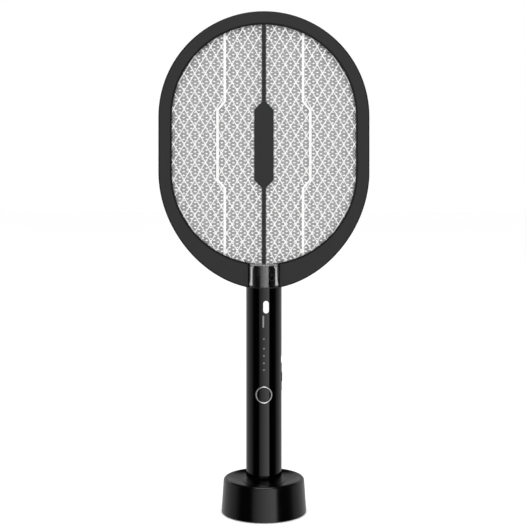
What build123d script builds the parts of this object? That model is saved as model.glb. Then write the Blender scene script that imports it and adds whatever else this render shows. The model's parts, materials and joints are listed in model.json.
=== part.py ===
"""Electric fly swatter with a mesh head, a round battery handle and a drum-shaped charging base.

Millimetres. +Z up, the swatter's front faces -Y, and the origin is the middle of the base on the table.
Front and back pieces of the head mirror each other across the XZ plane.
"""
from build123d import *
from math import cos, hypot, radians, sin, sqrt
import os

os.makedirs("parts", exist_ok=True)

# ---------------------------------------------------------------- driving dimensions
# charging base
foot_radius = 44.4
drum_top_radius = 42.0
drum_height = 36.0
drum_wall = 2.2
shell_lift = 0.6
foot_height = 0.9
plate_thickness = 2.6
socket_floor = 13.5
socket_floor_thickness = 2.0
socket_gap = 0.35
pin_spacing = 11.0
boss_circle = 31.0
foot_circle = 34.0
inlet_face = 42.5

# handle
handle_radius = 18.6
handle_wall = 2.0
handle_top = 234.7
end_cap_thickness = 2.0
seat_gap = 0.3
handle_screw_heights = (24.2, 102.5, 226.0)
seam_groove = 0.2

# controls
button_height = 125.0
button_half_width = 8.75
button_half_height = 8.9
ring_width = 1.35
indicator_heights = (182.7, 172.7, 165.3, 157.8, 150.7)
switch_window_low = 126.2
switch_window_high = 163.7
switch_window_width = 8.6
knob_length = 28.3
switch_travel = 7.0

# head
head_radius = 110.0
head_top_centre = 412.8
head_low_centre = 355.2
chin_depth = 122.0
chin_fullness = 0.518
chin_lap = 3.0
opening_radius = 95.9
saddle_outer = 18.0
head_half = 7.0
face_thickness = 1.8
head_wall = 1.8
net_radius = 100.1
net_thickness = 0.7
shock_half = 0.4
net_margin = 0.6
tab_width = 4.0
tab_length = 10.0
front_tab = -7.0
back_tab = -5.0
shock_tab = 8.0
spine_half_width = 2.1
plate_half_width = 10.1
plate_low = 342.7
plate_high = 424.2
plate_taper = 4.3
spine_screw_heights = (364.0, 404.0)
rib_offset = 40.9
rib_jog = 7.5
rib_width = 2.6

# fasteners: head (radius, height) and shaft (radius, length)
base_screw = ((2.8, 1.3), (1.05, 9.0))
handle_screw = ((2.7, 1.6), (1.1, 21.0))
head_screw = ((2.05, 1.3), (0.85, 9.5))

# screw bosses, pilot holes and clearance holes, all as radii
base_boss = 3.2
base_pilot = 1.15
base_clearance = 1.4
handle_boss = 4.2
handle_pilot = 1.15
handle_clearance = 1.3
pilot_depth = 8.0
rim_boss = 2.6
spine_boss = 3.0
head_pilot = 0.9
head_clearance = 1.0
head_seat_depth = 1.5

# a cut this deep or long passes right through any wall
through = 20.0

# nets: diamond cell width, cell height, strand
guard_cell = (11.1, 18.5, 1.35)
shock_cell = (16.0, 7.6, 1.5)

# derived sizes
handle_bottom = socket_floor + seat_gap
tube_bottom = handle_bottom + end_cap_thickness
tube_inner = handle_radius - handle_wall
socket_radius = handle_radius + socket_gap
plate_top = foot_height + plate_thickness
board_low = plate_top + 1.7
board_top = board_low + 1.6
net_face = head_half - face_thickness
window_top = head_low_centre - opening_radius
neck_flange = 0.8
window_low = handle_top + neck_flange
saddle_inner = saddle_outer - 1.0
spigot_outer = tube_inner - 0.2
spigot_inner = spigot_outer - 1.8
tab_end = head_low_centre - net_radius - 7.5
head_middle = (head_top_centre + head_low_centre) / 2


def save(builder, label):
    """Label a finished piece and write its STEP file."""
    builder.part.label = label
    export_step(builder.part, f"parts/{label}.step")


# ---------------------------------------------------------------- shared outlines
def head_outline(inset):
    """Half circle over straight sides and a slightly pointed chin, moved in by inset."""
    radius = head_radius - inset
    chin = head_low_centre - chin_depth + inset
    pull_down = head_low_centre - chin_fullness * (chin_depth - inset)
    pull_in = chin_fullness * radius
    with BuildLine() as line:
        CenterArc((0, head_top_centre), radius, 0, 180)
        Line((-radius, head_top_centre), (-radius, head_low_centre))
        Bezier((-radius, head_low_centre), (-radius, pull_down), (-pull_in, chin), (0, chin))
        Bezier((0, chin), (pull_in, chin), (radius, pull_down), (radius, head_low_centre))
        Line((radius, head_low_centre), (radius, head_top_centre))
    return line.wire()


def stadium(radius):
    """Upright stadium about the head's two centres."""
    with BuildSketch() as face:
        with Locations((0, head_middle)):
            SlotCenterToCenter(head_top_centre - head_low_centre, 2 * radius, rotation=90)
    return face.sketch


def rim_points():
    """Screw places along the middle of the head's rim."""
    across = (opening_radius + head_radius) / 2
    down = (opening_radius + chin_depth) / 2
    upper = [(across * cos(radians(a)), head_top_centre + across * sin(radians(a)))
             for a in (0, 45, 90, 135, 180)]
    lower = [(across * cos(radians(a)), head_low_centre + down * sin(radians(a)))
             for a in (180, 232, 256, 284, 308, 360)]
    return upper + lower


def central_plate():
    """Outline of the spine: a bar over the whole opening with a long hexagonal plate in its middle."""
    reach_low = head_low_centre - opening_radius - 1
    reach_high = head_top_centre + opening_radius + 1
    right = [(spine_half_width, reach_low), (spine_half_width, plate_low - plate_taper),
             (plate_half_width, plate_low + plate_taper), (plate_half_width, plate_high - plate_taper),
             (spine_half_width, plate_high + plate_taper), (spine_half_width, reach_high)]
    left = [(-x, z) for x, z in reversed(right)]
    with BuildSketch() as face:
        with BuildLine():
            Polyline(*right, *left, close=True)
        make_face()
    return face.sketch


def rib_outline(side):
    """Outline of one white rib, which steps outwards beside the central plate."""
    step = rib_offset + rib_jog
    reach = sqrt((net_radius - 1) ** 2 - rib_offset ** 2)
    centres = [(rib_offset, head_low_centre - reach), (rib_offset, plate_low - plate_taper),
               (step, plate_low + plate_taper), (step, plate_high - plate_taper),
               (rib_offset, plate_high + plate_taper), (rib_offset, head_top_centre + reach)]
    inner = [(side * (x - rib_width / 2), z) for x, z in centres]
    outer = [(side * (x + rib_width / 2), z) for x, z in reversed(centres)]
    with BuildSketch() as face:
        with BuildLine():
            Polyline(*inner, *outer, close=True)
        make_face()
    return face.sketch


def net_cells(cell, clear_radius):
    """Centres of the diamond openings that lie whole inside a stadium of clear_radius."""
    width, height, _ = cell
    centres = []
    rows = int((2 * clear_radius + head_top_centre - head_low_centre) / height) + 1
    columns = int(clear_radius / width) + 1
    for row in range(-rows, rows + 1):
        z = head_middle + row * height / 2
        for column in range(-columns, columns + 1):
            x = (column + 0.5 * (row % 2)) * width
            corners = [(x - width / 2, z), (x + width / 2, z), (x, z - height / 2), (x, z + height / 2)]
            if all(inside_stadium(*corner, clear_radius) for corner in corners):
                centres.append((x, z))
    return centres


def inside_stadium(x, z, radius):
    """Whether a point lies within radius of the line between the head's two centres."""
    nearest = min(max(z, head_low_centre), head_top_centre)
    return hypot(x, z - nearest) <= radius


def diamond(cell):
    """One opening of a net: the cell's diamond, drawn in by half a strand all round."""
    width, height, strand = cell
    inset = strand / 2 * hypot(width, height) / 2
    scale = 1 - inset / (width * height / 4)
    across = width / 2 * scale
    up = height / 2 * scale
    corners = [(across, 0), (0, up), (-across, 0), (0, -up)]
    with BuildSketch() as face:
        with BuildLine():
            Polyline(*corners, close=True)
        make_face()
    return face.sketch


def net_plate(cell, face_y, thickness, boss_hole, tab_x):
    """A flat diamond net with a plain margin, boss holes and a contact tab below its margin."""
    with BuildPart() as plate:
        with BuildSketch(Plane.XZ.offset(-face_y)):
            add(stadium(net_radius))
            with Locations((tab_x, tab_end + tab_length / 2)):
                Rectangle(tab_width, tab_length)
            with Locations(*[(0, height) for height in spine_screw_heights]):
                Circle(boss_hole, mode=Mode.SUBTRACT)
            with Locations(*net_cells(cell, net_radius - net_margin)):
                add(diamond(cell), mode=Mode.SUBTRACT)
        extrude(amount=-thickness)
    return plate.part


def round_wire(points, radius, bend):
    """A round wire along straight runs joined by arcs."""
    with BuildLine() as path:
        FilletPolyline(*points, radius=bend)
    with BuildPart() as wire:
        with BuildSketch(Plane(origin=path.line @ 0, z_dir=path.line % 0)):
            Circle(radius)
        sweep(path=path.line)
    return wire.part


def screws(places, plane, head, shaft):
    """Pan-head screws: head and shaft are (radius, height), the head's underside on the plane."""
    with BuildPart() as group:
        with BuildSketch(plane):
            with Locations(*places):
                Circle(head[0])
        extrude(amount=head[1])
        with BuildSketch(plane.offset(head[1])):
            with Locations(*places):
                RectangleRounded(head[0] * 1.1, head[0] * 0.3, head[0] * 0.1)
                RectangleRounded(head[0] * 0.3, head[0] * 1.1, head[0] * 0.1)
        extrude(amount=-head[1] * 0.5, mode=Mode.SUBTRACT)
        with BuildSketch(plane):
            with Locations(*places):
                Circle(shaft[0])
        extrude(amount=-shaft[1])
    return group.part


# ---------------------------------------------------------------- charging base
ceiling = drum_height - 5.6
collar_radius = socket_radius + 3.0
collar_height = drum_height - 2.5
dish_radius = collar_radius + 0.5
dish_height = drum_height - 3.4
ledge_radius = drum_top_radius - 3.4
ledge_drop = 0.3
socket_outer = socket_radius + 2.0
socket_underside = socket_floor - socket_floor_thickness
pin_places = [(-pin_spacing / 2, 0), (pin_spacing / 2, 0)]
pin_hole = 1.6
inlet_height = board_top + 1.65
post_places = [(x, y) for x in (-11, 11) for y in (-10, 27)]

with BuildPart() as base_shell:
    with BuildSketch(Plane.XZ):
        with BuildLine():
            Polyline((0, socket_floor), (socket_radius, socket_floor), (socket_radius, collar_height),
                     (collar_radius, collar_height), (dish_radius, dish_height))
            ThreePointArc((dish_radius, dish_height), (31.0, drum_height - 2.4),
                          (ledge_radius - 1, drum_height - ledge_drop))
            Polyline((ledge_radius - 1, drum_height - ledge_drop), (ledge_radius, drum_height),
                     (drum_top_radius, drum_height), (foot_radius, shell_lift),
                     (foot_radius - drum_wall, shell_lift), (drum_top_radius - drum_wall, ceiling),
                     (socket_outer, ceiling), (socket_outer, socket_underside),
                     (0, socket_underside), (0, socket_floor))
        make_face()
    revolve(axis=Axis.Z)
    rim = base_shell.edges().filter_by(GeomType.CIRCLE)
    fillet(rim.filter_by(lambda e: abs(e.radius - drum_top_radius) < 0.01), radius=3.0)
    foot = base_shell.edges().filter_by(GeomType.CIRCLE)
    fillet(foot.filter_by(lambda e: abs(e.radius - foot_radius) < 0.01), radius=0.8)
    with BuildSketch(Plane.XY.offset(plate_top)):
        with PolarLocations(boss_circle, 4, start_angle=45):
            Circle(base_boss)
    extrude(amount=ceiling + 0.3 - plate_top)
    with BuildSketch(Plane.XY.offset(plate_top)):
        with PolarLocations(boss_circle, 4, start_angle=45):
            Circle(base_pilot)
    extrude(amount=14, mode=Mode.SUBTRACT)
    with BuildSketch(Plane.XY.offset(socket_floor)):
        with Locations(*pin_places):
            Circle(pin_hole)
    extrude(amount=-socket_floor_thickness, mode=Mode.SUBTRACT)
    with BuildSketch(Plane.XZ.offset(-foot_radius)):
        with Locations((0, inlet_height)):
            SlotOverall(10.6, 5.0)
    extrude(amount=4 * drum_wall, mode=Mode.SUBTRACT)
save(base_shell, "base_shell")

plate_seat_depth = 1.6
with BuildPart() as base_plate:
    with BuildSketch(Plane.XY.offset(foot_height)):
        Circle(foot_radius - drum_wall - 0.4)
        with PolarLocations(boss_circle, 4, start_angle=45):
            Circle(base_clearance, mode=Mode.SUBTRACT)
    extrude(amount=plate_thickness)
    with BuildSketch(Plane.XY.offset(foot_height)):
        with PolarLocations(boss_circle, 4, start_angle=45):
            Circle(base_screw[0][0] + 0.3)
    extrude(amount=plate_seat_depth, mode=Mode.SUBTRACT)
    with BuildSketch(Plane.XY.offset(plate_top)):
        with Locations(*post_places):
            Circle(2.2)
    extrude(amount=board_low - plate_top)
save(base_plate, "base_plate")

with BuildPart() as base_feet:
    with BuildSketch():
        with PolarLocations(foot_circle, 4):
            Circle(5.0)
    extrude(amount=foot_height)
    chamfer(base_feet.faces().sort_by(Axis.Z)[:4].edges(), length=0.25)
save(base_feet, "base_feet")

with PolarLocations(boss_circle, 4, start_angle=45) as corners:
    screw_places = [(spot.position.X, -spot.position.Y) for spot in corners.locations]
underside = Plane(origin=(0, 0, foot_height + plate_seat_depth), x_dir=(1, 0, 0), z_dir=(0, 0, -1))
with BuildPart() as base_screws:
    add(screws(screw_places, underside, *base_screw))
save(base_screws, "base_screws")

with BuildPart() as charge_board:
    with BuildSketch(Plane.XY.offset(board_low)):
        with Locations((0, 11.5)):
            RectangleRounded(30, 51, 1.5)
    extrude(amount=board_top - board_low)
save(charge_board, "charge_board")

inlet_depth = 6.2
with BuildPart() as usb_inlet:
    with BuildSketch(Plane.XZ.offset(-inlet_face)):
        with Locations((0, inlet_height)):
            SlotOverall(8.94, 3.26)
    extrude(amount=inlet_depth + 1.1)
    with BuildSketch(Plane.XZ.offset(-inlet_face)):
        with Locations((0, inlet_height)):
            SlotOverall(8.34, 2.56)
    extrude(amount=inlet_depth, mode=Mode.SUBTRACT)
    with BuildSketch(Plane.XZ.offset(inlet_depth - inlet_face)):
        with Locations((0, inlet_height)):
            Rectangle(6.6, 0.7)
    extrude(amount=-5.0)
save(usb_inlet, "usb_inlet")

# stepped bores: the pin's flange slides in the wide part under the narrow one
flange_bore = 1.95
stem_bore = 1.4
step_height = board_top + 3.9
with BuildPart() as pin_housing:
    with BuildSketch(Plane.XY.offset(board_top)):
        RectangleRounded(20, 9, 1)
        with Locations(*pin_places):
            Circle(flange_bore, mode=Mode.SUBTRACT)
    extrude(amount=step_height - board_top)
    with BuildSketch(Plane.XY.offset(step_height)):
        RectangleRounded(20, 9, 1)
        with Locations(*pin_places):
            Circle(stem_bore, mode=Mode.SUBTRACT)
    extrude(amount=socket_underside - step_height)
save(pin_housing, "pin_housing")

pin_tip = handle_bottom + 1.1
pin_flange = 0.7
flange_low = step_height - pin_flange - 0.1
spring_wire = 0.18
spring_turns = 4
spring_length = flange_low - board_top - 2 * spring_wire - 0.26
for label, (x, y) in zip(("left", "right"), pin_places):
    with BuildPart() as charge_pin:
        with BuildSketch(Plane.XY.offset(flange_low)):
            with Locations((x, y)):
                Circle(flange_bore - 0.2)
        extrude(amount=pin_flange)
        with BuildSketch(Plane.XY.offset(flange_low)):
            with Locations((x, y)):
                Circle(stem_bore - 0.2)
        extrude(amount=pin_tip - flange_low)
        fillet(charge_pin.edges().sort_by(Axis.Z)[-1], radius=0.8)
    save(charge_pin, f"charge_pin_{label}")

    with BuildPart() as pin_spring:
        with BuildLine() as coil:
            Helix(pitch=spring_length / spring_turns, height=spring_length, radius=1.4,
                  center=(x, y, board_top + 0.3))
        with BuildSketch(Plane(origin=coil.line @ 0, z_dir=coil.line % 0)):
            Circle(spring_wire)
        sweep()
    save(pin_spring, f"pin_spring_{label}")

# ---------------------------------------------------------------- handle casings
window_middle = (switch_window_low + switch_window_high) / 2
tube_screws = [(0, height) for height in handle_screw_heights[:2]]
all_handle_screws = [(0, height) for height in handle_screw_heights]
indicator_hole = 1.05
front_plane = Plane.XZ
back_plane = Plane(origin=(0, 0, 0), x_dir=(-1, 0, 0), z_dir=(0, 1, 0))


def handle_half(side_plane):
    """Half of the handle tube, with its screw bosses and its half of the switch window."""
    with BuildPart() as half:
        with BuildSketch(Plane.XY.offset(tube_bottom)):
            Circle(handle_radius)
            Circle(tube_inner, mode=Mode.SUBTRACT)
        extrude(amount=handle_top - tube_bottom)
        split(bisect_by=side_plane)
        upright = half.edges().filter_by(Axis.Z)
        seam = upright.filter_by(lambda e: abs(abs(e.center().X) - handle_radius) < 0.01)
        chamfer(seam, length=seam_groove)
        with BuildSketch(side_plane):
            with Locations(*tube_screws):
                Circle(handle_boss)
        extrude(amount=tube_inner + 0.4)
        with BuildSketch(Plane.YZ.offset(tube_inner - 6)):
            with Locations((0, window_middle)):
                RectangleRounded(switch_window_width, switch_window_high - switch_window_low, 2)
        extrude(amount=10, mode=Mode.SUBTRACT)
    return half.part


with BuildPart() as handle_front_shell:
    add(handle_half(front_plane))
    with BuildSketch(Plane.XZ.offset(9)):
        with Locations((0, button_height)):
            Ellipse(button_half_width, button_half_height)
    extrude(amount=through, mode=Mode.SUBTRACT)
    with BuildSketch(Plane.XZ.offset(9)):
        with Locations(*[(0, height) for height in indicator_heights]):
            Circle(indicator_hole)
    extrude(amount=through, mode=Mode.SUBTRACT)
    with BuildSketch(Plane.XZ):
        with Locations(*tube_screws):
            Circle(handle_pilot)
    extrude(amount=pilot_depth, mode=Mode.SUBTRACT)
save(handle_front_shell, "handle_front_shell")

with BuildPart() as handle_back_shell:
    add(handle_half(back_plane))
    with BuildSketch(Plane.XZ):
        with Locations(*all_handle_screws):
            Circle(handle_clearance)
    extrude(amount=-through, mode=Mode.SUBTRACT)
    with BuildSketch(Plane.XZ.offset(-spigot_outer)):
        with Locations(*all_handle_screws):
            Circle(handle_screw[0][0] + 0.2)
    extrude(amount=-through, mode=Mode.SUBTRACT)
save(handle_back_shell, "handle_back_shell")

cap_lip = 4.0
contact_hole = 3.0
contact_recess = 1.2
contact_flange = 0.8
with BuildPart() as handle_end_cap:
    with BuildSketch(Plane.XY.offset(handle_bottom)):
        Circle(handle_radius)
    extrude(amount=end_cap_thickness)
    chamfer(handle_end_cap.edges().sort_by(Axis.Z)[0], length=0.8)
    with BuildSketch(Plane.XY.offset(tube_bottom)):
        Circle(tube_inner - 0.1)
        Circle(tube_inner - 1.9, mode=Mode.SUBTRACT)
    extrude(amount=cap_lip)
    with BuildSketch(Plane.XY.offset(handle_bottom)):
        with Locations(*pin_places):
            Circle(contact_hole)
    extrude(amount=end_cap_thickness, mode=Mode.SUBTRACT)
save(handle_end_cap, "handle_end_cap")

with BuildPart() as handle_contacts:
    with BuildSketch(Plane.XY.offset(handle_bottom + contact_recess)):
        with Locations(*pin_places):
            Circle(contact_hole - 0.1)
    extrude(amount=end_cap_thickness - contact_recess)
    with BuildSketch(Plane.XY.offset(tube_bottom)):
        with Locations(*pin_places):
            Circle(contact_hole + 1)
    extrude(amount=contact_flange)
save(handle_contacts, "handle_contacts")

with BuildPart() as handle_screws:
    back_face = Plane(origin=(0, spigot_outer, 0), x_dir=(1, 0, 0), z_dir=(0, 1, 0))
    add(screws([(0, -height) for height in handle_screw_heights], back_face, *handle_screw))
save(handle_screws, "handle_screws")

# ---------------------------------------------------------------- battery and electronics
cell_radius = 9.2
cell_low = 31.0
cell_length = 65.0
cell_high = cell_low + cell_length
cell_button = 1.0
contact_thickness = 0.8
tray_wall = 1.2
tray_low = cell_low - contact_thickness - tray_wall
tray_length = cell_length + 2 * (contact_thickness + tray_wall)
tray_outer = cell_radius + 1.7
main_board_y = -7.0
main_board_thickness = 1.6
main_board_front = main_board_y - main_board_thickness
main_board_low = 108.0
main_board_high = 212.0
board_back_plane = Plane.XZ.offset(-main_board_y)
board_front_plane = Plane.XZ.offset(-main_board_front)

with BuildPart() as battery_cell:
    with BuildSketch(Plane.XY.offset(cell_low)):
        Circle(cell_radius)
    extrude(amount=cell_length - cell_button)
    fillet(battery_cell.edges(), radius=0.6)
    with BuildSketch(Plane.XY.offset(cell_high - cell_button)):
        Circle(3.0)
    extrude(amount=cell_button)
save(battery_cell, "battery_cell")

# a half trough behind the cell, held off the tube by three ribs
with BuildPart() as battery_tray:
    with BuildSketch(Plane.XY.offset(tray_low)):
        Circle(tray_outer)
    extrude(amount=tray_length)
    with BuildSketch(Plane.XY.offset(tray_low + tray_wall)):
        Circle(cell_radius + 0.2)
    extrude(amount=tray_length - 2 * tray_wall, mode=Mode.SUBTRACT)
    split(bisect_by=back_plane)
    with BuildSketch(Plane.XY.offset(tray_low + 4)):
        with PolarLocations((tray_outer + tube_inner) / 2 - 0.35, 3, start_angle=40, angular_range=100):
            Rectangle(tube_inner - tray_outer + 0.5, 2)
    extrude(amount=tray_length - 8)
save(battery_tray, "battery_tray")

with BuildPart() as battery_contacts:
    for height in (cell_low - contact_thickness, cell_high):
        with BuildSketch(Plane.XY.offset(height)):
            RectangleRounded(14, 9, 1)
        extrude(amount=contact_thickness)
save(battery_contacts, "battery_contacts")

with BuildPart() as main_board:
    with BuildSketch(board_back_plane):
        with Locations((0, (main_board_low + main_board_high) / 2)):
            RectangleRounded(23, main_board_high - main_board_low, 1)
    extrude(amount=main_board_thickness)
save(main_board, "main_board")

# an E core, with the winding window cut round its middle leg
core_middle = (-1, 168.0)
with BuildPart() as hv_transformer:
    with BuildSketch(board_back_plane):
        with Locations(core_middle):
            Rectangle(15, 16)
    extrude(amount=-12.5)
    with BuildSketch(Plane.XZ.offset(-main_board_y - 2.5)):
        with Locations(core_middle):
            Rectangle(15, 9)
            Rectangle(11, 9, mode=Mode.SUBTRACT)
    extrude(amount=-8, mode=Mode.SUBTRACT)
    chamfer(hv_transformer.faces().sort_by(Axis.Y)[-1].edges(), length=0.6)
save(hv_transformer, "hv_transformer")

with BuildPart() as hv_capacitors:
    with BuildSketch(board_back_plane):
        with Locations((-4.8, 189), (4.8, 189)):
            Rectangle(8.6, 13)
    extrude(amount=-9)
    fillet(hv_capacitors.edges().filter_by(Axis.Y), radius=1.5)
save(hv_capacitors, "hv_capacitors")

diode_radius = 1.35
with BuildPart() as hv_diodes:
    with BuildSketch(Plane.YZ.offset(-4)):
        with Locations(*[(main_board_y + diode_radius + 0.05, height) for height in (199, 202.5, 206)]):
            Circle(diode_radius)
    extrude(amount=5.2)
save(hv_diodes, "hv_diodes")

tact_height = 3.3
tact_well = 2.2
with BuildPart() as power_tact_switch:
    with BuildSketch(board_front_plane):
        with Locations((0, button_height)):
            Rectangle(6.2, 6.2)
    extrude(amount=tact_height)
    with BuildSketch(Plane.XZ.offset(-main_board_front + tact_height - tact_well)):
        with Locations((0, button_height)):
            Circle(1.9)
    extrude(amount=tact_well, mode=Mode.SUBTRACT)
save(power_tact_switch, "power_tact_switch")

lever_half = 1.1
lever_low = 139.2
lever_high = 141.6
lever_root = 7.8
switch_face = 9.5
with BuildPart() as mode_switch_body:
    with BuildSketch(board_back_plane):
        with Locations((switch_face - 2.8, lever_low + 4.8)):
            Rectangle(5.6, 22)
    extrude(amount=-8.6)
    with BuildSketch(Plane.YZ.offset(lever_root - 0.4)):
        with Locations((0, (lever_low + lever_high + switch_travel) / 2)):
            Rectangle(2 * lever_half + 0.5, lever_high - lever_low + switch_travel + 0.8)
    extrude(amount=switch_face - lever_root + 0.5, mode=Mode.SUBTRACT)
save(mode_switch_body, "mode_switch_body")

led_height = 0.9
guide_gap = 0.7
guide_back = -main_board_front + led_height + guide_gap
guide_low = indicator_heights[-1] - 3
guide_high = indicator_heights[0] + 3
with BuildPart() as indicator_leds:
    with BuildSketch(board_front_plane):
        with Locations(*[(0, height) for height in indicator_heights]):
            Rectangle(1.6, 2.4)
    extrude(amount=led_height)
save(indicator_leds, "indicator_leds")

with BuildPart() as light_guide:
    with BuildSketch(Plane.XZ.offset(guide_back)):
        with Locations((0, (guide_low + guide_high) / 2)):
            RectangleRounded(4, guide_high - guide_low, 1)
    extrude(amount=tube_inner - 0.5 - guide_back)
    with BuildSketch(Plane.XZ.offset(tube_inner - 1)):
        with Locations(*[(0, height) for height in indicator_heights]):
            Circle(indicator_hole - 0.08)
    extrude(amount=handle_wall + 0.9)
save(light_guide, "light_guide")

# ---------------------------------------------------------------- power button
ring_inner_width = button_half_width - ring_width
ring_inner_height = button_half_height - ring_width
ring_back = 14.6
cap_gap = 0.3
cap_flange = 1.0
cap_back = ring_back - cap_flange - cap_gap
stem_height = 0.4


def curved_disc(half_width, half_height, back, front_radius):
    """Upright oval plug from a flat back to a front that follows the handle's curve."""
    with BuildPart() as disc:
        with BuildSketch(Plane.XZ.offset(back)):
            with Locations((0, button_height)):
                Ellipse(half_width, half_height)
        extrude(amount=front_radius)
        with BuildSketch(Plane.XY.offset(button_height - through)):
            Circle(front_radius)
        extrude(amount=2 * through, mode=Mode.INTERSECT)
    return disc.part


with BuildPart() as button_ring:
    add(curved_disc(button_half_width - 0.05, button_half_height - 0.05, ring_back, handle_radius + 0.45))
    with BuildSketch(Plane.XZ.offset(9)):
        with Locations((0, button_height)):
            Ellipse(ring_inner_width, ring_inner_height)
    extrude(amount=through, mode=Mode.SUBTRACT)
save(button_ring, "button_ring")

with BuildPart() as button_cap:
    add(curved_disc(ring_inner_width - cap_gap, ring_inner_height - cap_gap, cap_back, handle_radius + 0.1))
    with BuildSketch(Plane.XZ.offset(cap_back)):
        with Locations((0, button_height)):
            Ellipse(button_half_width - 0.6, button_half_height - 0.6)
    extrude(amount=cap_flange)
    with BuildSketch(Plane.XZ.offset(cap_back)):
        with Locations((0, button_height)):
            Circle(2.2)
    extrude(amount=-stem_height)
save(button_cap, "button_cap")

with BuildPart() as button_plunger:
    with BuildSketch(Plane.XZ.offset(cap_back - stem_height)):
        with Locations((0, button_height)):
            Circle(1.6)
    extrude(amount=-1.9)
save(button_plunger, "button_plunger")

# ---------------------------------------------------------------- mode switch on the right side
knob_low = switch_window_low + 0.9
knob_middle = knob_low + knob_length / 2
flange_inner = 13.4
flange_outer = 14.4
grip_ridge = 0.8
grip_pitch = 1.8

with BuildPart() as mode_switch_knob:
    with BuildSketch(Plane.YZ.offset(flange_outer)):
        with Locations((0, knob_middle)):
            RectangleRounded(switch_window_width - 0.8, knob_length, 2)
    extrude(amount=6)
    with BuildSketch(Plane.XY.offset(knob_low - 1)):
        Circle(handle_radius + 0.2)
    extrude(amount=knob_length + 2, mode=Mode.INTERSECT)
    with BuildSketch(Plane.XZ.offset(-3.0)):
        with Locations(*[(handle_radius - 0.1, knob_middle + step * grip_pitch) for step in range(-2, 3)]):
            Circle(grip_ridge)
    extrude(amount=6)
    with BuildSketch(Plane.YZ.offset(flange_inner)):
        with Locations((0, window_middle - 2.9)):
            RectangleRounded(switch_window_width + 2.2, 47, 1)
    extrude(amount=flange_outer - flange_inner)
    with BuildSketch(Plane.YZ.offset(flange_inner)):
        with Locations((0, lever_low - 1.3), (0, lever_high + 1.3)):
            Rectangle(4, 2.2)
    extrude(amount=-2.2)
save(mode_switch_knob, "mode_switch_knob")

with BuildPart() as mode_switch_lever:
    with BuildSketch(Plane.YZ.offset(lever_root)):
        with Locations((0, (lever_low + lever_high) / 2)):
            Rectangle(2 * lever_half, lever_high - lever_low)
    extrude(amount=flange_inner - 0.3 - lever_root)
save(mode_switch_lever, "mode_switch_lever")

# ---------------------------------------------------------------- head casings
saddle_face = 9.6
saddle_start = 244.5
rim_screws = [*rim_points(), *[(0, height) for height in spine_screw_heights]]

# a thin wall round the lamp window, which falls away in a curve to the head's face above the handle
with BuildPart() as neck_saddle:
    with BuildSketch(Plane.XY.offset(window_low)):
        Circle(saddle_outer)
        Circle(saddle_inner, mode=Mode.SUBTRACT)
    extrude(amount=window_top - window_low)
    with BuildSketch(Plane.YZ):
        with BuildLine():
            Polyline((-net_face, handle_top), (-net_face, window_top), (-saddle_face, window_top),
                     (-saddle_face, saddle_start))
            ThreePointArc((-saddle_face, saddle_start), (-saddle_face + 0.7, saddle_start - 4.8),
                          (-head_half, handle_top))
            Line((-head_half, handle_top), (-net_face, handle_top))
        make_face()
    extrude(amount=through, both=True, mode=Mode.INTERSECT)

with BuildPart() as head_half_shell:
    with BuildSketch(Plane.XZ.offset(net_face)):
        make_face(head_outline(0).edges())
        add(stadium(opening_radius), mode=Mode.SUBTRACT)
        add(central_plate())
    extrude(amount=face_thickness)
    with BuildSketch(Plane.XZ):
        make_face(head_outline(0).edges())
        make_face(head_outline(head_wall).edges(), mode=Mode.SUBTRACT)
    extrude(amount=net_face)
    fillet(head_half_shell.faces().sort_by(Axis.Y)[0].outer_wire().edges(), radius=1.2)
    chamfer(head_half_shell.faces().sort_by(Axis.Y)[-1].outer_wire().edges(), length=seam_groove)
    with BuildSketch(Plane.XZ):
        with Locations(*rim_points()):
            Circle(rim_boss)
        with Locations(*[(0, height) for height in spine_screw_heights]):
            Circle(spine_boss)
    extrude(amount=net_face)
    with BuildSketch(Plane.XY.offset(window_low)):
        Circle(saddle_inner)
    extrude(amount=window_top + 0.2 - window_low, mode=Mode.SUBTRACT)
    with BuildSketch(Plane.XY.offset(handle_top - chin_lap)):
        Circle(handle_radius + 0.1)
    extrude(amount=chin_lap + neck_flange + 0.1, mode=Mode.SUBTRACT)
    add(neck_saddle.part)

with BuildPart() as head_front_shell:
    add(head_half_shell.part)
    with BuildSketch(Plane.XZ):
        with Locations(*rim_screws):
            Circle(head_pilot)
    extrude(amount=net_face, mode=Mode.SUBTRACT)
save(head_front_shell, "head_front_shell")

with BuildPart() as head_back_shell:
    add(head_half_shell.part.mirror(Plane.XZ))
    with BuildSketch(Plane.XZ):
        with Locations(*rim_screws):
            Circle(head_clearance)
    extrude(amount=-through, mode=Mode.SUBTRACT)
    with BuildSketch(Plane.XZ.offset(-head_half)):
        with Locations(*rim_screws):
            Circle(head_screw[0][0] + 0.15)
    extrude(amount=head_seat_depth, mode=Mode.SUBTRACT)
save(head_back_shell, "head_back_shell")

with BuildPart() as head_screws:
    seat = Plane(origin=(0, head_half - head_seat_depth, 0), x_dir=(1, 0, 0), z_dir=(0, 1, 0))
    add(screws([(x, -z) for x, z in rim_screws], seat, *head_screw))
save(head_screws, "head_screws")

# the neck: a spigot in the handle, a flange on its top, and two ears on screws inside the head
spigot_length = 20.0
ear_thickness = 1.4
ear_points = [(14.9, window_low - 0.4), (16.0, window_low - 0.4), (16.0, 243.5),
              (29.0, 243.5), (29.0, 255.5), (14.9, 255.5)]
ear_screw = rim_points()[8]


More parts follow.
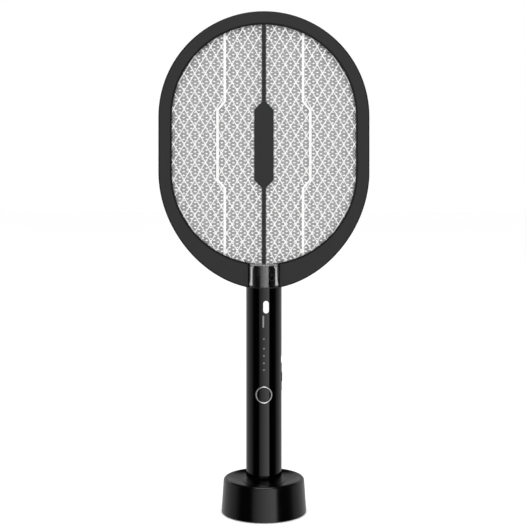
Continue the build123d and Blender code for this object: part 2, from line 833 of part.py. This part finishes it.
def neck_half(side_plane, screw_hole, hole_depth):
    """Half of the neck, on one side of the head's middle plane."""
    with BuildPart() as half:
        with BuildSketch(Plane.XY.offset(handle_top)):
            Circle(handle_radius)
            Circle(spigot_inner, mode=Mode.SUBTRACT)
        extrude(amount=neck_flange)
        with BuildSketch(Plane.XY.offset(handle_top - spigot_length)):
            Circle(spigot_outer)
            Circle(spigot_inner, mode=Mode.SUBTRACT)
        extrude(amount=spigot_length)
        split(bisect_by=side_plane)
        with BuildSketch(side_plane):
            with Locations((0, handle_screw_heights[2])):
                Circle(handle_boss)
        extrude(amount=spigot_inner + 0.6)
        with BuildSketch(side_plane.offset(net_face - ear_thickness - 0.1)):
            for side in (-1, 1):
                with BuildLine():
                    Polyline(*[(side * x, z) for x, z in ear_points], close=True)
                make_face()
            with Locations((-ear_screw[0], ear_screw[1]), ear_screw):
                Circle(rim_boss + 0.1, mode=Mode.SUBTRACT)
        extrude(amount=ear_thickness)
        with BuildSketch(side_plane):
            with Locations((0, handle_screw_heights[2])):
                Circle(screw_hole)
        extrude(amount=hole_depth, mode=Mode.SUBTRACT)
    return half.part


with BuildPart() as neck_spigot_front:
    add(neck_half(front_plane, handle_pilot, pilot_depth))
save(neck_spigot_front, "neck_spigot_front")

with BuildPart() as neck_spigot_back:
    add(neck_half(back_plane, handle_clearance, through))
save(neck_spigot_back, "neck_spigot_back")

# ---------------------------------------------------------------- nets, spacers and lamp
guard_boss_hole = spine_boss + 0.3
shock_boss_hole = 4.6
spacer_depth = net_face - net_thickness - shock_half
spacer_width = 2.2

with BuildPart() as front_guard_net:
    add(net_plate(guard_cell, -net_face, net_thickness, guard_boss_hole, front_tab))
save(front_guard_net, "front_guard_net")

with BuildPart() as back_guard_net:
    add(net_plate(guard_cell, net_face - net_thickness, net_thickness, guard_boss_hole, back_tab))
save(back_guard_net, "back_guard_net")

with BuildPart() as shock_grid:
    add(net_plate(shock_cell, -shock_half, 2 * shock_half, shock_boss_hole, shock_tab))
save(shock_grid, "shock_grid")

with BuildPart() as front_spacer_frame:
    with BuildSketch(Plane.XZ.offset(shock_half)):
        add(stadium(net_radius))
        add(stadium(net_radius - spacer_width), mode=Mode.SUBTRACT)
        add(rib_outline(1))
        add(rib_outline(-1))
        with Locations((0, head_middle)):
            Rectangle(3.0, head_top_centre - head_low_centre + 2 * net_radius - spacer_width)
            RectangleRounded(17, plate_high - plate_low - 6, 2)
        with Locations(*[(0, height) for height in spine_screw_heights]):
            Circle(guard_boss_hole, mode=Mode.SUBTRACT)
    extrude(amount=spacer_depth)
save(front_spacer_frame, "front_spacer_frame")

with BuildPart() as back_spacer_frame:
    add(front_spacer_frame.part.mirror(Plane.XZ))
save(back_spacer_frame, "back_spacer_frame")

window_radius = saddle_inner - 0.1
window_wall = 1.5
window_height = window_top - window_low - 0.2
with BuildPart() as lamp_window_front:
    with BuildSketch(Plane.XY.offset(window_low + 0.1)):
        Circle(window_radius)
    extrude(amount=window_height)
    fillet(lamp_window_front.edges().sort_by(Axis.Z)[-1], radius=1.2)
    with BuildSketch(Plane.XY.offset(window_low + 0.1)):
        Circle(window_radius - window_wall)
    extrude(amount=window_height - 1.6, mode=Mode.SUBTRACT)
    with BuildSketch(Plane.XZ.offset(net_face + 0.2)):
        with Locations((0, (window_low + window_top) / 2)):
            Rectangle(3 * window_radius, 2 * window_height)
    extrude(amount=window_radius, mode=Mode.INTERSECT)
save(lamp_window_front, "lamp_window_front")

with BuildPart() as lamp_window_back:
    add(lamp_window_front.part.mirror(Plane.XZ))
save(lamp_window_back, "lamp_window_back")

lamp_low = 238.6
lamp_high = 252.0
lamp_board_half = 0.8
lamp_size = 3.5
lamp_depth = 1.6
with BuildPart() as lamp_board:
    with BuildSketch(Plane.XZ.offset(-lamp_board_half)):
        with Locations((0, (lamp_low + lamp_high) / 2)):
            Rectangle(12, lamp_high - lamp_low)
    extrude(amount=2 * lamp_board_half)
save(lamp_board, "lamp_board")

# a smoky sleeve round the lamps, cut away above for the edges of the nets and spacers, with a rib
# behind each edge of the lamp board
sleeve_radius = 12.1
sleeve_wall = 1.2
net_bottom = head_low_centre - net_radius
with BuildPart() as lamp_sleeve:
    with BuildSketch(Plane.XY.offset(window_low + 0.1)):
        Circle(sleeve_radius)
        Circle(sleeve_radius - sleeve_wall, mode=Mode.SUBTRACT)
        with Locations((-8.2, lamp_board_half + 0.7), (8.2, lamp_board_half + 0.7)):
            Rectangle(6.0, 1.2)
    extrude(amount=window_height - 1.8)
    with BuildSketch(Plane.YZ.offset(-sleeve_radius)):
        with Locations((0, net_bottom + 9.5)):
            Rectangle(2 * net_face + 0.4, 20)
    extrude(amount=2 * sleeve_radius, mode=Mode.SUBTRACT)
save(lamp_sleeve, "lamp_sleeve")

with BuildPart() as uv_lamps:
    for back in (lamp_board_half, -lamp_board_half - lamp_depth):
        with BuildSketch(Plane.XZ.offset(back)):
            with Locations((0, lamp_low + 3.2), (0, lamp_high - 3.2)):
                Rectangle(lamp_size, lamp_size)
        extrude(amount=lamp_depth)
save(uv_lamps, "uv_lamps")

# ---------------------------------------------------------------- wiring
hv_lead_height = 204.0
lamp_lead_height = 210.0
guard_middle = net_face - net_thickness / 2
hv_routes = [(front_tab, -guard_middle, 0), (back_tab, guard_middle, 3), (shock_tab, 0, 0)]

with BuildPart() as hv_leads:
    for x, y, rise in hv_routes:
        level = hv_lead_height + rise
        add(round_wire([(x, main_board_y, level), (x, y, level), (x, y, tab_end)], 0.6, 1.2))
save(hv_leads, "hv_leads")

with BuildPart() as lamp_leads:
    for x in (-5.2, 5.2):
        run = [(x, main_board_y, lamp_lead_height), (x, 0, lamp_lead_height), (x, 0, lamp_low)]
        add(round_wire(run, 0.5, 2.0))
save(lamp_leads, "lamp_leads")

lead_end_y = main_board_y + 0.5
thin_lead = contact_thickness / 2 - 0.01
with BuildPart() as battery_leads:
    for y, level, height in ((-2, cell_low - 0.4, 114), (-4, cell_high + 0.4, 111)):
        run = [(-7, y, level), (-12.8, y, level), (-12.8, y, height), (-9.5, lead_end_y, height)]
        add(round_wire(run, thin_lead, 1.5))
save(battery_leads, "battery_leads")

with BuildPart() as charge_leads:
    for side in (-1, 1):
        run = [(side * 8, 0, tube_bottom + contact_flange), (side * 8, 0, 22), (side * 12, -8, 31),
               (side * 12, -8, 100), (side * 9, -7.8, main_board_low - 0.5)]
        add(round_wire(run, 0.6, 1.5))
save(charge_leads, "charge_leads")
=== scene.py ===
import json
import math

import bmesh
import bpy
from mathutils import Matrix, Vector


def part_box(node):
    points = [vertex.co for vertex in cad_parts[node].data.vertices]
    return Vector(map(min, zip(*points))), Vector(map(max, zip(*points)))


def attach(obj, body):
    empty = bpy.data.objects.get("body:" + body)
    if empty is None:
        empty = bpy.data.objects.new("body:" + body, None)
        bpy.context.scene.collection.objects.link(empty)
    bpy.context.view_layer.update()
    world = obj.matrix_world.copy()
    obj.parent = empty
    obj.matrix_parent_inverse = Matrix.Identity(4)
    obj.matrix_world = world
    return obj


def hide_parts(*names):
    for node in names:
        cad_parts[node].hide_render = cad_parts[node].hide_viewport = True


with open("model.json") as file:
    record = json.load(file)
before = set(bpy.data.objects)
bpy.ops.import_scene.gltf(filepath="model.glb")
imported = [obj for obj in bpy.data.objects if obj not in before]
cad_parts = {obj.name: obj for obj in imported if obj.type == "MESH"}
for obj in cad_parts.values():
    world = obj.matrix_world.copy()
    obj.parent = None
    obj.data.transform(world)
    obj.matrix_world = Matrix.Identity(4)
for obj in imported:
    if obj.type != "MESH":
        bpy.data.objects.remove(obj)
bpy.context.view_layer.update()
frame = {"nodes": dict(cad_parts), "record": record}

MM = 0.001

# sizes of the frame's pieces that the materials and meshes follow, in millimetres
head_top_centre = 412.8
head_low_centre = 355.2
head_middle = (head_top_centre + head_low_centre) / 2
opening_radius = 95.9
handle_radius = 18.6
button_height = 125.0


# ------------------------------------------------------------------ material helpers
def start_material(name, color, roughness, metallic=0.0, specular=0.5):
    """A Principled material with its fixed values on the shader's own sockets."""
    material = bpy.data.materials.new(name)
    material.use_nodes = True
    shader = material.node_tree.nodes["Principled BSDF"]
    shader.inputs["Base Color"].default_value = (*color, 1)
    shader.inputs["Roughness"].default_value = roughness
    shader.inputs["Metallic"].default_value = metallic
    shader.inputs["Specular IOR Level"].default_value = specular
    return material, material.node_tree.nodes, material.node_tree.links, shader


def object_noise(nodes, links, scale, detail=3.0, stretch=(1, 1, 1)):
    """Noise over the object's own coordinates, with scale in features per metre."""
    place = nodes.new("ShaderNodeTexCoord")
    mapping = nodes.new("ShaderNodeMapping")
    mapping.inputs["Scale"].default_value = stretch
    noise = nodes.new("ShaderNodeTexNoise")
    noise.inputs["Scale"].default_value = scale
    noise.inputs["Detail"].default_value = detail
    links.new(place.outputs["Object"], mapping.inputs["Vector"])
    links.new(mapping.outputs["Vector"], noise.inputs["Vector"])
    return noise.outputs["Fac"]


def map_range(nodes, links, source, source_range, result_range):
    """Maps one range of a value to another, clamped at both ends."""
    ramp = nodes.new("ShaderNodeMapRange")
    ramp.inputs["From Min"].default_value, ramp.inputs["From Max"].default_value = source_range
    ramp.inputs["To Min"].default_value, ramp.inputs["To Max"].default_value = result_range
    links.new(source, ramp.inputs["Value"])
    return ramp.outputs["Result"]


def spread(nodes, links, source, low, high):
    """Maps a noise's middle range to low..high."""
    return map_range(nodes, links, source, (0.3, 0.7), (low, high))


def add_bump(nodes, links, shader, height, distance):
    """Fine relief, with its depth in metres."""
    bump = nodes.new("ShaderNodeBump")
    bump.inputs["Distance"].default_value = distance
    links.new(height, bump.inputs["Height"])
    links.new(bump.outputs["Normal"], shader.inputs["Normal"])


def mix_colors(nodes, links, factor, first, second):
    """A blend of two fixed colours."""
    mix = nodes.new("ShaderNodeMix")
    mix.data_type = "RGBA"
    mix.inputs["A"].default_value = (*first, 1)
    mix.inputs["B"].default_value = (*second, 1)
    links.new(factor, mix.inputs["Factor"])
    return mix.outputs["Result"]


def moulded_plastic(name, color, low_rough, high_rough, grain, grain_depth, tint=1.25, specular=0.5):
    """Moulded plastic: faint mottling in colour and gloss over a fine grain."""
    material, nodes, links, shader = start_material(name, color, low_rough, specular=specular)
    cloud = object_noise(nodes, links, 55, 4)
    links.new(spread(nodes, links, cloud, low_rough, high_rough), shader.inputs["Roughness"])
    lighter = tuple(min(1, c * tint) for c in color)
    links.new(mix_colors(nodes, links, cloud, color, lighter), shader.inputs["Base Color"])
    add_bump(nodes, links, shader, object_noise(nodes, links, grain, 2), grain_depth)
    return material


def metal(name, color, low_rough, high_rough, scale, stretch=(1, 1, 1), depth=0.00001):
    """Metal with gloss that varies over fine, optionally stretched, marks."""
    material, nodes, links, shader = start_material(name, color, low_rough, metallic=1.0)
    marks = object_noise(nodes, links, scale, 4, stretch)
    links.new(spread(nodes, links, marks, low_rough, high_rough), shader.inputs["Roughness"])
    darker = tuple(c * 0.8 for c in color)
    links.new(mix_colors(nodes, links, marks, darker, color), shader.inputs["Base Color"])
    add_bump(nodes, links, shader, marks, depth)
    return material


def calculate(nodes, links, operation, first, second=0.0, third=0.0):
    """One maths node on a socket; the second value is a socket or a fixed number."""
    step = nodes.new("ShaderNodeMath")
    step.operation = operation
    links.new(first, step.inputs[0])
    if isinstance(second, (int, float)):
        step.inputs[1].default_value = second
    else:
        links.new(second, step.inputs[1])
    step.inputs[2].default_value = third
    return step.outputs["Value"]


def clear_window(name, tint, head_on):
    """Smoky see-through plastic under a gloss that grows from its head-on share towards the edges."""
    material, nodes, links, shader = start_material(name, tint, 0.06)
    clear = nodes.new("ShaderNodeBsdfTransparent")
    cloud = object_noise(nodes, links, 180, 3)
    darker = tuple(c * 0.93 for c in tint)
    links.new(mix_colors(nodes, links, cloud, darker, tint), clear.inputs["Color"])
    gloss = nodes.new("ShaderNodeBsdfGlossy")
    links.new(spread(nodes, links, cloud, 0.03, 0.08), gloss.inputs["Roughness"])
    slant = nodes.new("ShaderNodeLayerWeight")
    slant.inputs["Blend"].default_value = 0.5
    edge = calculate(nodes, links, "POWER", slant.outputs["Facing"], 5.0)
    reflected = calculate(nodes, links, "MULTIPLY_ADD", edge, 1 - head_on, head_on)
    mix = nodes.new("ShaderNodeMixShader")
    links.new(reflected, mix.inputs["Fac"])
    links.new(clear.outputs["BSDF"], mix.inputs[1])
    links.new(gloss.outputs["BSDF"], mix.inputs[2])
    links.new(mix.outputs["Shader"], nodes["Material Output"].inputs["Surface"])
    nodes.remove(shader)
    return material


def expanded_metal(name, color, low_rough, high_rough, metallic):
    """Pressed net metal: part mirror and part dull oxide, worn brighter in patches."""
    material, nodes, links, shader = start_material(name, color, low_rough, metallic=metallic)
    wear = object_noise(nodes, links, 700, 4)
    links.new(spread(nodes, links, wear, low_rough, high_rough), shader.inputs["Roughness"])
    darker = tuple(c * 0.88 for c in color)
    links.new(mix_colors(nodes, links, wear, darker, color), shader.inputs["Base Color"])
    add_bump(nodes, links, shader, object_noise(nodes, links, 2400, 2), 0.00002)
    return material


def from_core_line(nodes, links, position):
    """Distance in metres, in the head's plane, from the line between the head's two centres."""
    level = nodes.new("ShaderNodeClamp")
    level.inputs["Min"].default_value = head_low_centre * MM
    level.inputs["Max"].default_value = head_top_centre * MM
    links.new(position.outputs["Z"], level.inputs["Value"])
    rise = calculate(nodes, links, "SUBTRACT", position.outputs["Z"], level.outputs["Result"])
    across = calculate(nodes, links, "MULTIPLY", position.outputs["X"], position.outputs["X"])
    up = calculate(nodes, links, "MULTIPLY", rise, rise)
    return calculate(nodes, links, "SQRT", calculate(nodes, links, "ADD", across, up))


# a face of the rim counts as flat when its normal's share along Y is at least this
flat_face = 0.995


def gloss_and_painted_shade_edges(material, edge_shade_color, edge_rough, band_width):
    """Near-black painted shade and lower roughness on the rim's rounded corners and a band round its
    opening.
    """
    nodes, links = material.node_tree.nodes, material.node_tree.links
    shader = nodes["Principled BSDF"]
    place = nodes.new("ShaderNodeTexCoord")
    position = nodes.new("ShaderNodeSeparateXYZ")
    links.new(place.outputs["Object"], position.inputs["Vector"])
    from_line = from_core_line(nodes, links, position)
    band_middle = (opening_radius + band_width / 2) * MM
    band = calculate(nodes, links, "COMPARE", from_line, band_middle, band_width / 2 * MM)
    slope = nodes.new("ShaderNodeSeparateXYZ")
    links.new(place.outputs["Normal"], slope.inputs["Vector"])
    flatness = calculate(nodes, links, "ABSOLUTE", slope.outputs["Y"])
    corner = calculate(nodes, links, "LESS_THAN", flatness, flat_face)
    painted_shade_mask = calculate(nodes, links, "MAXIMUM", band, corner)
    # the corners and the band take the edge colour as painted shade, together with the lower roughness
    for socket, value in (("Base Color", (*edge_shade_color, 1)), ("Roughness", (edge_rough,) * 3 + (1,))):
        mix = nodes.new("ShaderNodeMix")
        mix.data_type = "RGBA"
        mix.inputs["B"].default_value = value
        links.new(shader.inputs[socket].links[0].from_socket, mix.inputs["A"])
        links.new(painted_shade_mask, mix.inputs["Factor"])
        links.new(mix.outputs["Result"], shader.inputs[socket])
    return material


MATERIALS = {
    "gloss_black": moulded_plastic("gloss_black", (0.0004, 0.0004, 0.00042), 0.03, 0.06, 900, 0.000001),
    "soft_gloss_black": moulded_plastic(
        "soft_gloss_black", (0.0006, 0.0006, 0.00062), 0.17, 0.2, 900, 0.000001),
    "satin_black": moulded_plastic("satin_black", (0.008, 0.008, 0.0085), 0.35, 0.5, 2600, 0.00002),
    # the frame's rim edges and the band round its opening carry a near-black painted shade
    "matte_frame": gloss_and_painted_shade_edges(
        moulded_plastic("matte_frame", (0.0172, 0.0172, 0.0176), 0.42, 0.55, 3200, 0.00002, specular=0.2),
        (0.001, 0.001, 0.001), 0.2, 2.0),
    "rubber": moulded_plastic("rubber", (0.02, 0.02, 0.02), 0.75, 0.9, 1800, 0.00004),
    "white_plastic": moulded_plastic("white_plastic", (0.86, 0.86, 0.85), 0.35, 0.45, 2500, 0.00001, 1.03),
    "net_metal": expanded_metal("net_metal", (0.95, 0.95, 0.95), 0.35, 0.5, 0.35),
    "grid_metal": expanded_metal("grid_metal", (0.4, 0.4, 0.402), 0.4, 0.55, 0.3),
    "smoky_window": clear_window("smoky_window", (0.93, 0.93, 0.935), 0.088),
    "smoky_sleeve": moulded_plastic("smoky_sleeve", (0.011, 0.011, 0.0113), 0.25, 0.35, 900, 0.000002),
    "chrome": metal("chrome", (0.85, 0.85, 0.86), 0.16, 0.26, 1500, depth=0.000002),
    "screw_steel": metal("screw_steel", (0.4, 0.4, 0.41), 0.25, 0.45, 1800),
    "brass": metal("brass", (0.8, 0.6, 0.28), 0.2, 0.38, 1500),
    "spring_steel": metal("spring_steel", (0.62, 0.61, 0.6), 0.2, 0.35, 1500),
    "board": moulded_plastic("board", (0.02, 0.1, 0.045), 0.3, 0.45, 1200, 0.00002),
    "black_component": moulded_plastic("black_component", (0.01, 0.01, 0.0105), 0.4, 0.6, 2200, 0.00002),
    "capacitor_film": moulded_plastic("capacitor_film", (0.35, 0.09, 0.03), 0.2, 0.3, 900, 0.00001),
    "cell_wrap": moulded_plastic("cell_wrap", (0.05, 0.12, 0.32), 0.2, 0.32, 700, 0.00001),
    "clear_plastic": moulded_plastic("clear_plastic", (0.13, 0.13, 0.13), 0.15, 0.25, 900, 0.000004),
    "lamp_body": moulded_plastic("lamp_body", (0.75, 0.72, 0.55), 0.15, 0.25, 900, 0.00001),
    "lead_jacket": moulded_plastic("lead_jacket", (0.3, 0.02, 0.02), 0.4, 0.55, 900, 0.00001),
}
white_print = moulded_plastic("white_print", (0.8, 0.8, 0.8), 0.4, 0.5, 2500, 0.000004, 1.05)
grey_print = moulded_plastic("grey_print", (0.2, 0.2, 0.2), 0.4, 0.5, 2500, 0.000004, 1.1)

for part in frame["record"]["subparts"]:
    mesh = frame["nodes"][part["node"]].data
    mesh.materials.clear()
    mesh.materials.append(MATERIALS[part["material_slot"]])


# ------------------------------------------------------------------ mesh helpers
def add_object(name, mesh, material):
    """Links a finished mesh as a piece with one material."""
    mesh.materials.append(material)
    piece = bpy.data.objects.new(name, mesh)
    bpy.context.collection.objects.link(piece)
    return piece


def closed_mesh(name, points, faces):
    """A mesh from points in millimetres, with its faces turned outwards."""
    mesh = bpy.data.meshes.new(name)
    mesh.from_pydata([tuple(c * MM for c in point) for point in points], [], faces)
    shape = bmesh.new()
    shape.from_mesh(mesh)
    bmesh.ops.recalc_face_normals(shape, faces=shape.faces)
    shape.to_mesh(mesh)
    shape.free()
    return mesh


def extruded(outline, y_low, y_high):
    """Points and faces of a prism along Y over an outline of (x, z) points."""
    count = len(outline)
    points = [(x, y, z) for y in (y_low, y_high) for x, z in outline]
    sides = [(k, (k + 1) % count, (k + 1) % count + count, k + count) for k in range(count)]
    caps = [tuple(range(count)), tuple(range(count, 2 * count))]
    return points, sides + caps


def cut(piece, tool_points, tool_faces, operation):
    """Applies a boolean with a tool mesh to a piece's own mesh."""
    tool = bpy.data.objects.new("tool", closed_mesh("tool", tool_points, tool_faces))
    bpy.context.collection.objects.link(tool)
    step = piece.modifiers.new("cut", "BOOLEAN")
    step.operation = operation
    step.solver = "MANIFOLD"
    step.object = tool
    shaped = piece.evaluated_get(bpy.context.evaluated_depsgraph_get())
    result = bpy.data.meshes.new_from_object(shaped)
    piece.modifiers.clear()
    piece.data = result
    bpy.data.objects.remove(tool)


# ------------------------------------------------------------------ nets
net_edge = 99.9
spine_screw_heights = (364.0, 404.0)
guard_boss = 3.3
shock_boss = 4.6
cutter_reach = 10


def stadium(radius, steps=48):
    """Outline of the upright stadium that the head's nets fill."""
    outline = []
    for k in range(2 * steps + 2):
        turn = math.pi * (k if k <= steps else k - 1) / steps
        centre = head_top_centre if k <= steps else head_low_centre
        outline.append((radius * math.cos(turn), centre + radius * math.sin(turn)))
    return outline


def circle(radius, z, steps=24):
    """Outline of a circle on the head's middle line."""
    turns = [math.tau * k / steps for k in range(steps)]
    return [(radius * math.cos(t), z + radius * math.sin(t)) for t in turns]


def cell_hole(width, height, strand, knuckle):
    """The eight corners of one opening, from its right-hand corner round, flattened at each corner."""
    scale = 1 - strand * math.hypot(width, height) / (width * height)
    across = width / 2 * scale
    up = height / 2 * scale
    corners = [(across, 0), (0, up), (-across, 0), (0, -up)]
    hole = []
    for k, (x, z) in enumerate(corners):
        for near in (corners[k - 1], corners[(k + 1) % 4]):
            hole.append((x + (near[0] - x) * knuckle, z + (near[1] - z) * knuckle))
    return hole


def cell_centres(width, height):
    """Centres of the staggered diamonds that cover the head."""
    rows = int((net_edge * 2 + head_top_centre - head_low_centre) / height) + 2
    columns = int(net_edge * 2 / width) + 2
    return [(column * width / 2, head_middle + row * height / 2)
            for row in range(-rows, rows + 1)
            for column in range(-columns, columns + 1)
            if (row + column) % 2 == 0]


def lattice(name, y_low, y_high, width, height, strand, knuckle, ridge):
    """Closed mesh of a diamond net over the head, thicker along the middle line of each strand."""
    hole = cell_hole(width, height, strand, knuckle)
    places, points, faces, rims = {}, [], [], {}

    def point(x, y, z):
        key = (round(x, 4), round(y, 4), round(z, 4))
        if key not in places:
            places[key] = len(points)
            points.append((x, y, z))
        return places[key]

    steps = ((1, 0), (0, 1), (-1, 0), (0, -1))
    for x, z in cell_centres(width, height):
        layers = []
        for y, crest in ((y_low + ridge, y_low), (y_high - ridge, y_high)):
            peaks = [point(x + a * width / 2, crest, z + b * height / 2) for a, b in steps]
            inner = [point(x + u, y, z + v) for u, v in hole]
            layers.append((peaks, inner))
            for k in range(4):
                after = (k + 1) % 4
                faces.append((peaks[k], peaks[after], inner[2 * after], inner[2 * k + 1]))
                faces.append((peaks[k], inner[2 * k + 1], inner[2 * k]))
        (front, front_hole), (rear, rear_hole) = layers
        for k in range(8):
            after = (k + 1) % 8
            faces.append((front_hole[k], front_hole[after], rear_hole[after], rear_hole[k]))
        for k in range(4):
            after = (k + 1) % 4
            edge = frozenset((front[k], front[after]))
            rims.setdefault(edge, []).append((front[k], front[after], rear[after], rear[k]))
    faces += [sides[0] for sides in rims.values() if len(sides) == 1]
    return closed_mesh(name, points, faces)


def head_net(name, node, slot, boss, **shape):
    """One diamond net, cut to the head's stadium and round the spine's bosses, in place of its CAD node."""
    low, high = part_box(node)
    net = add_object(name, lattice(name, low[1] / MM, high[1] / MM, **shape), MATERIALS[slot])
    cut(net, *extruded(stadium(net_edge), -cutter_reach, cutter_reach), "INTERSECT")
    for height in spine_screw_heights:
        cut(net, *extruded(circle(boss, height), -cutter_reach, cutter_reach), "DIFFERENCE")
    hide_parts(node)
    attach(net, "swatter")


guard = {"width": 11.1, "height": 18.5, "strand": 1.08, "knuckle": 0.07, "ridge": 0.16}
shock = {"width": 8.0, "height": 3.78, "strand": 1.9, "knuckle": 0.08, "ridge": 0.12}
head_net("front_guard_strands", "front_guard_net", "net_metal", guard_boss, **guard)
head_net("back_guard_strands", "back_guard_net", "net_metal", guard_boss, **guard)
head_net("shock_grid_strands", "shock_grid", "grid_metal", shock_boss, **shock)

# ------------------------------------------------------------------ button ring and printed mark
ring_half_width = 8.1
ring_half_height = 8.25
ring_steps = 120
bead_half_width = 0.62
bead_rise = 0.43
bead_steps = 10
skirt_depth = 3.0


def button_ring():
    """A half-round bead laid along an oval that follows the handle's curve."""
    angles = [math.pi * k / bead_steps for k in range(bead_steps + 1)]
    bead_arc = [(bead_half_width * math.cos(s), bead_rise * math.sin(s)) for s in angles]
    section = [(bead_half_width, -skirt_depth), *bead_arc, (-bead_half_width, -skirt_depth)]
    points = []
    for k in range(ring_steps):
        turn = math.tau * k / ring_steps
        outward = Vector((math.cos(turn) / ring_half_width, math.sin(turn) / ring_half_height)).normalized()
        for across, rise in section:
            x = ring_half_width * math.cos(turn) + outward.x * across
            z = button_height + ring_half_height * math.sin(turn) + outward.y * across
            points.append((x, -math.sqrt(handle_radius ** 2 - x ** 2) - rise, z))
    size = len(section)
    faces = []
    for k in range(ring_steps):
        for j in range(size):
            after = (j + 1) % size
            ring = (k + 1) % ring_steps * size
            faces.append((k * size + j, k * size + after, ring + after, ring + j))
    mesh = closed_mesh("button_bead", points, faces)
    for polygon in mesh.polygons:
        polygon.use_smooth = True
    return mesh


bead = add_object("button_bead", button_ring(), MATERIALS["chrome"])
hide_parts("button_ring")
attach(bead, "swatter")


def wrapped_pill(name, middle_x, middle_z, half_width, half_height, ink, rise=0.04):
    """A thin rounded bar wrapped round the handle's front."""
    corner = min(half_width, half_height)
    steps = 24
    end_inset = 0.02
    columns = [half_width * -math.cos(math.pi * k / steps) for k in range(1, steps)]
    columns = [-half_width + end_inset, *columns, half_width - end_inset]
    points = []
    for u in columns:
        beyond = max(0.0, abs(u) - (half_width - corner))
        reach = half_height - corner + math.sqrt(max(0.0, corner ** 2 - beyond ** 2))
        angle = (middle_x + u) / handle_radius
        for radius in (handle_radius, handle_radius + rise):
            for z in (middle_z - reach, middle_z + reach):
                points.append((radius * math.sin(angle), -radius * math.cos(angle), z))
    faces = [(0, 1, 3, 2)]
    for k in range(len(columns) - 1):
        a = 4 * k
        b = a + 4
        faces += [(a, a + 1, b + 1, b), (a + 2, a + 3, b + 3, b + 2)]
        faces += [(a, a + 2, b + 2, b), (a + 1, a + 3, b + 3, b + 1)]
    last = 4 * (len(columns) - 1)
    faces.append((last, last + 1, last + 3, last + 2))
    piece = add_object(name, closed_mesh(name, points, faces), ink)
    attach(piece, "swatter")


wrapped_pill("mark_bold", 2.2, 215.5, 2.9, 6.4, white_print)
wrapped_pill("mark_fine", -0.6, 200.5, 0.8, 6.2, grey_print)

# ------------------------------------------------------------------ camera, light and floor
camera_distance = 1.12
eye_height = 0.3238
view_middle = (-0.00095, 0.26)
view_width = 0.551
camera_data = bpy.data.cameras.new("camera")
camera_data.sensor_fit = "HORIZONTAL"
camera_data.angle = 2 * math.atan(view_width / 2 / camera_distance)
camera_data.shift_y = (view_middle[1] - eye_height) / view_width
camera = bpy.data.objects.new("camera", camera_data)
bpy.context.collection.objects.link(camera)
camera.location = (view_middle[0], -camera_distance, eye_height)
camera.rotation_euler = (math.pi / 2, 0, 0)
bpy.context.scene.camera = camera


def light_panel(name, place, target, width, height, power, glossy=True):
    """A rectangular softbox that faces its target."""
    data = bpy.data.lights.new(name, "AREA")
    data.shape = "RECTANGLE"
    data.size = width
    data.size_y = height
    data.energy = power
    lamp = bpy.data.objects.new(name, data)
    bpy.context.collection.objects.link(lamp)
    lamp.location = place
    lamp.rotation_euler = (Vector(target) - Vector(place)).to_track_quat("-Z", "Y").to_euler()
    lamp.visible_camera = False
    lamp.visible_glossy = glossy


middle = (0, 0, 0.26)
light_panel("overhead", (0, -0.6, 1.6), middle, 1.0, 0.9, 9)
light_panel("floor_wash", (0, 0.3, 2.6), (0, 0.3, 0), 3.0, 3.0, 14, glossy=False)

# brightness of the studio's walls in reflections, by compass direction from the camera's side,
# clockwise seen from above: the front softbox grows brighter to the right and ends sharply
wall_stops = [(-180, 0.3), (-150, 0.66), (-110, 0.48), (-84, 0.28), (-72, 0.04), (-62, 0.0), (-34, 0.0),
              (-28, 0.35), (0, 1.05), (33, 1.7), (36, 0.0), (66, 0.0), (80, 0.05), (90, 0.3),
              (120, 0.55), (150, 0.62), (180, 0.3)]
wall_peak = 2.0
wall_top = 0.5
wall_fade = 0.12


def studio_world():
    """White to the eye and for fill light; in reflections, softbox walls with dark gaps between them."""
    world = bpy.data.worlds.new("studio")
    bpy.context.scene.world = world
    world.use_nodes = True
    nodes, links = world.node_tree.nodes, world.node_tree.links
    place = nodes.new("ShaderNodeTexCoord")
    split = nodes.new("ShaderNodeSeparateXYZ")
    links.new(place.outputs["Generated"], split.inputs["Vector"])
    front = calculate(nodes, links, "MULTIPLY", split.outputs["Y"], -1)
    compass = calculate(nodes, links, "ARCTAN2", split.outputs["X"], front)
    turn = map_range(nodes, links, compass, (-math.pi, math.pi), (0, 1))
    walls = nodes.new("ShaderNodeValToRGB")
    stops = walls.color_ramp.elements
    for k, (degrees, level) in enumerate(wall_stops):
        position = (degrees + 180) / 360
        stop = stops[k] if k < 2 else stops.new(position)
        stop.position = position
        stop.color = (level / wall_peak, level / wall_peak, level / wall_peak, 1)
    links.new(turn, walls.inputs["Fac"])
    top = map_range(nodes, links, split.outputs["Z"], (wall_top, wall_top + wall_fade), (1, 0))
    lit = nodes.new("ShaderNodeVectorMath")
    lit.operation = "SCALE"
    links.new(walls.outputs["Color"], lit.inputs[0])
    links.new(top, lit.inputs["Scale"])
    path = nodes.new("ShaderNodeLightPath")
    mix = nodes.new("ShaderNodeMix")
    mix.data_type = "RGBA"
    mix.inputs["A"].default_value = (1 / wall_peak, 1 / wall_peak, 1 / wall_peak, 1)
    links.new(lit.outputs["Vector"], mix.inputs["B"])
    links.new(path.outputs["Is Glossy Ray"], mix.inputs["Factor"])
    sky = nodes["Background"]
    sky.inputs["Strength"].default_value = wall_peak
    links.new(mix.outputs["Result"], sky.inputs["Color"])


studio_world()

floor_mesh = bpy.data.meshes.new("floor")
floor_reach = 30.0
floor_glow = 0.12
corners = [(x * floor_reach, y * floor_reach, 0) for x, y in ((-1, -1), (1, -1), (1, 1), (-1, 1))]
floor_mesh.from_pydata(corners, [], [(0, 1, 2, 3)])
floor_finish = moulded_plastic("floor", (0.93, 0.93, 0.93), 0.8, 0.9, 40, 0.00001, 1.01)
floor_finish.node_tree.nodes["Principled BSDF"].inputs["Emission Strength"].default_value = floor_glow
floor = add_object("floor", floor_mesh, floor_finish)
floor.visible_glossy = False

bpy.context.scene.view_settings.view_transform = "Standard"
